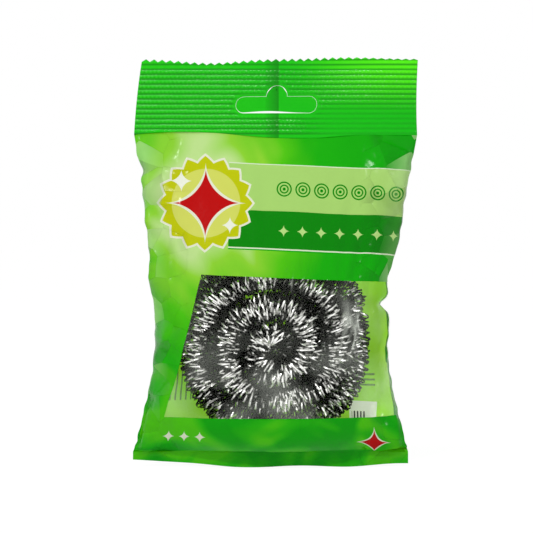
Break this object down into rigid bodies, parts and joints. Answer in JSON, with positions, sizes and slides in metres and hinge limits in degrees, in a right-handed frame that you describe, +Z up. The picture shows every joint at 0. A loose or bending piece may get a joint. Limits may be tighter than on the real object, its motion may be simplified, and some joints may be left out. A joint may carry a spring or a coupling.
{
  "type": "pot scrubber",
  "caption": "Spiral stainless-steel pot scrubber in its sealed hang pack: a printed film bag with clear window, crimped header, hang slot and swinging die-cut tab.",
  "frame": {"origin": "top of the hang slot, in the header's middle plane, where a peg carries the bag", "axes": "+Z up the bag towards the header's edge, -Y out of the printed front, +X to the right as seen from the front"},
  "size_m": [0.1123, 0.0329, 0.1604],
  "materials": {
    "printed_film": "glossy printed packing film",
    "clear_film": "clear glossy packing film",
    "steel_ribbon": "bright curled stainless ribbon"
  },
  "bodies": {
    "pouch": {"header_front_ply": "printed_film", "header_back_ply": "printed_film", "header_fin_upper": "printed_film", "header_fin_lower": "printed_film", "front_panel": "printed_film", "window_pane": "clear_film", "back_panel_left": "printed_film", "back_panel_right": "printed_film", "back_fin": "printed_film", "bottom_seal_front": "printed_film", "bottom_seal_back": "printed_film"},
    "tab": {"hang_tab": "printed_film"},
    "scrubber": {"scrubber_coil": "steel_ribbon"}
  },
  "joints": [
    {"name": "tab_swing", "type": "hinge", "parent": "pouch", "child": "tab", "pos_m": [0, 0, -0.001], "axis": [-1, 0, 0], "range_deg": [-25, 90]},
    {"name": "scrubber_shift", "type": "slide", "parent": "pouch", "child": "scrubber", "axis": [0, 0, 1], "range_m": [0, 0.01]}
  ]
}
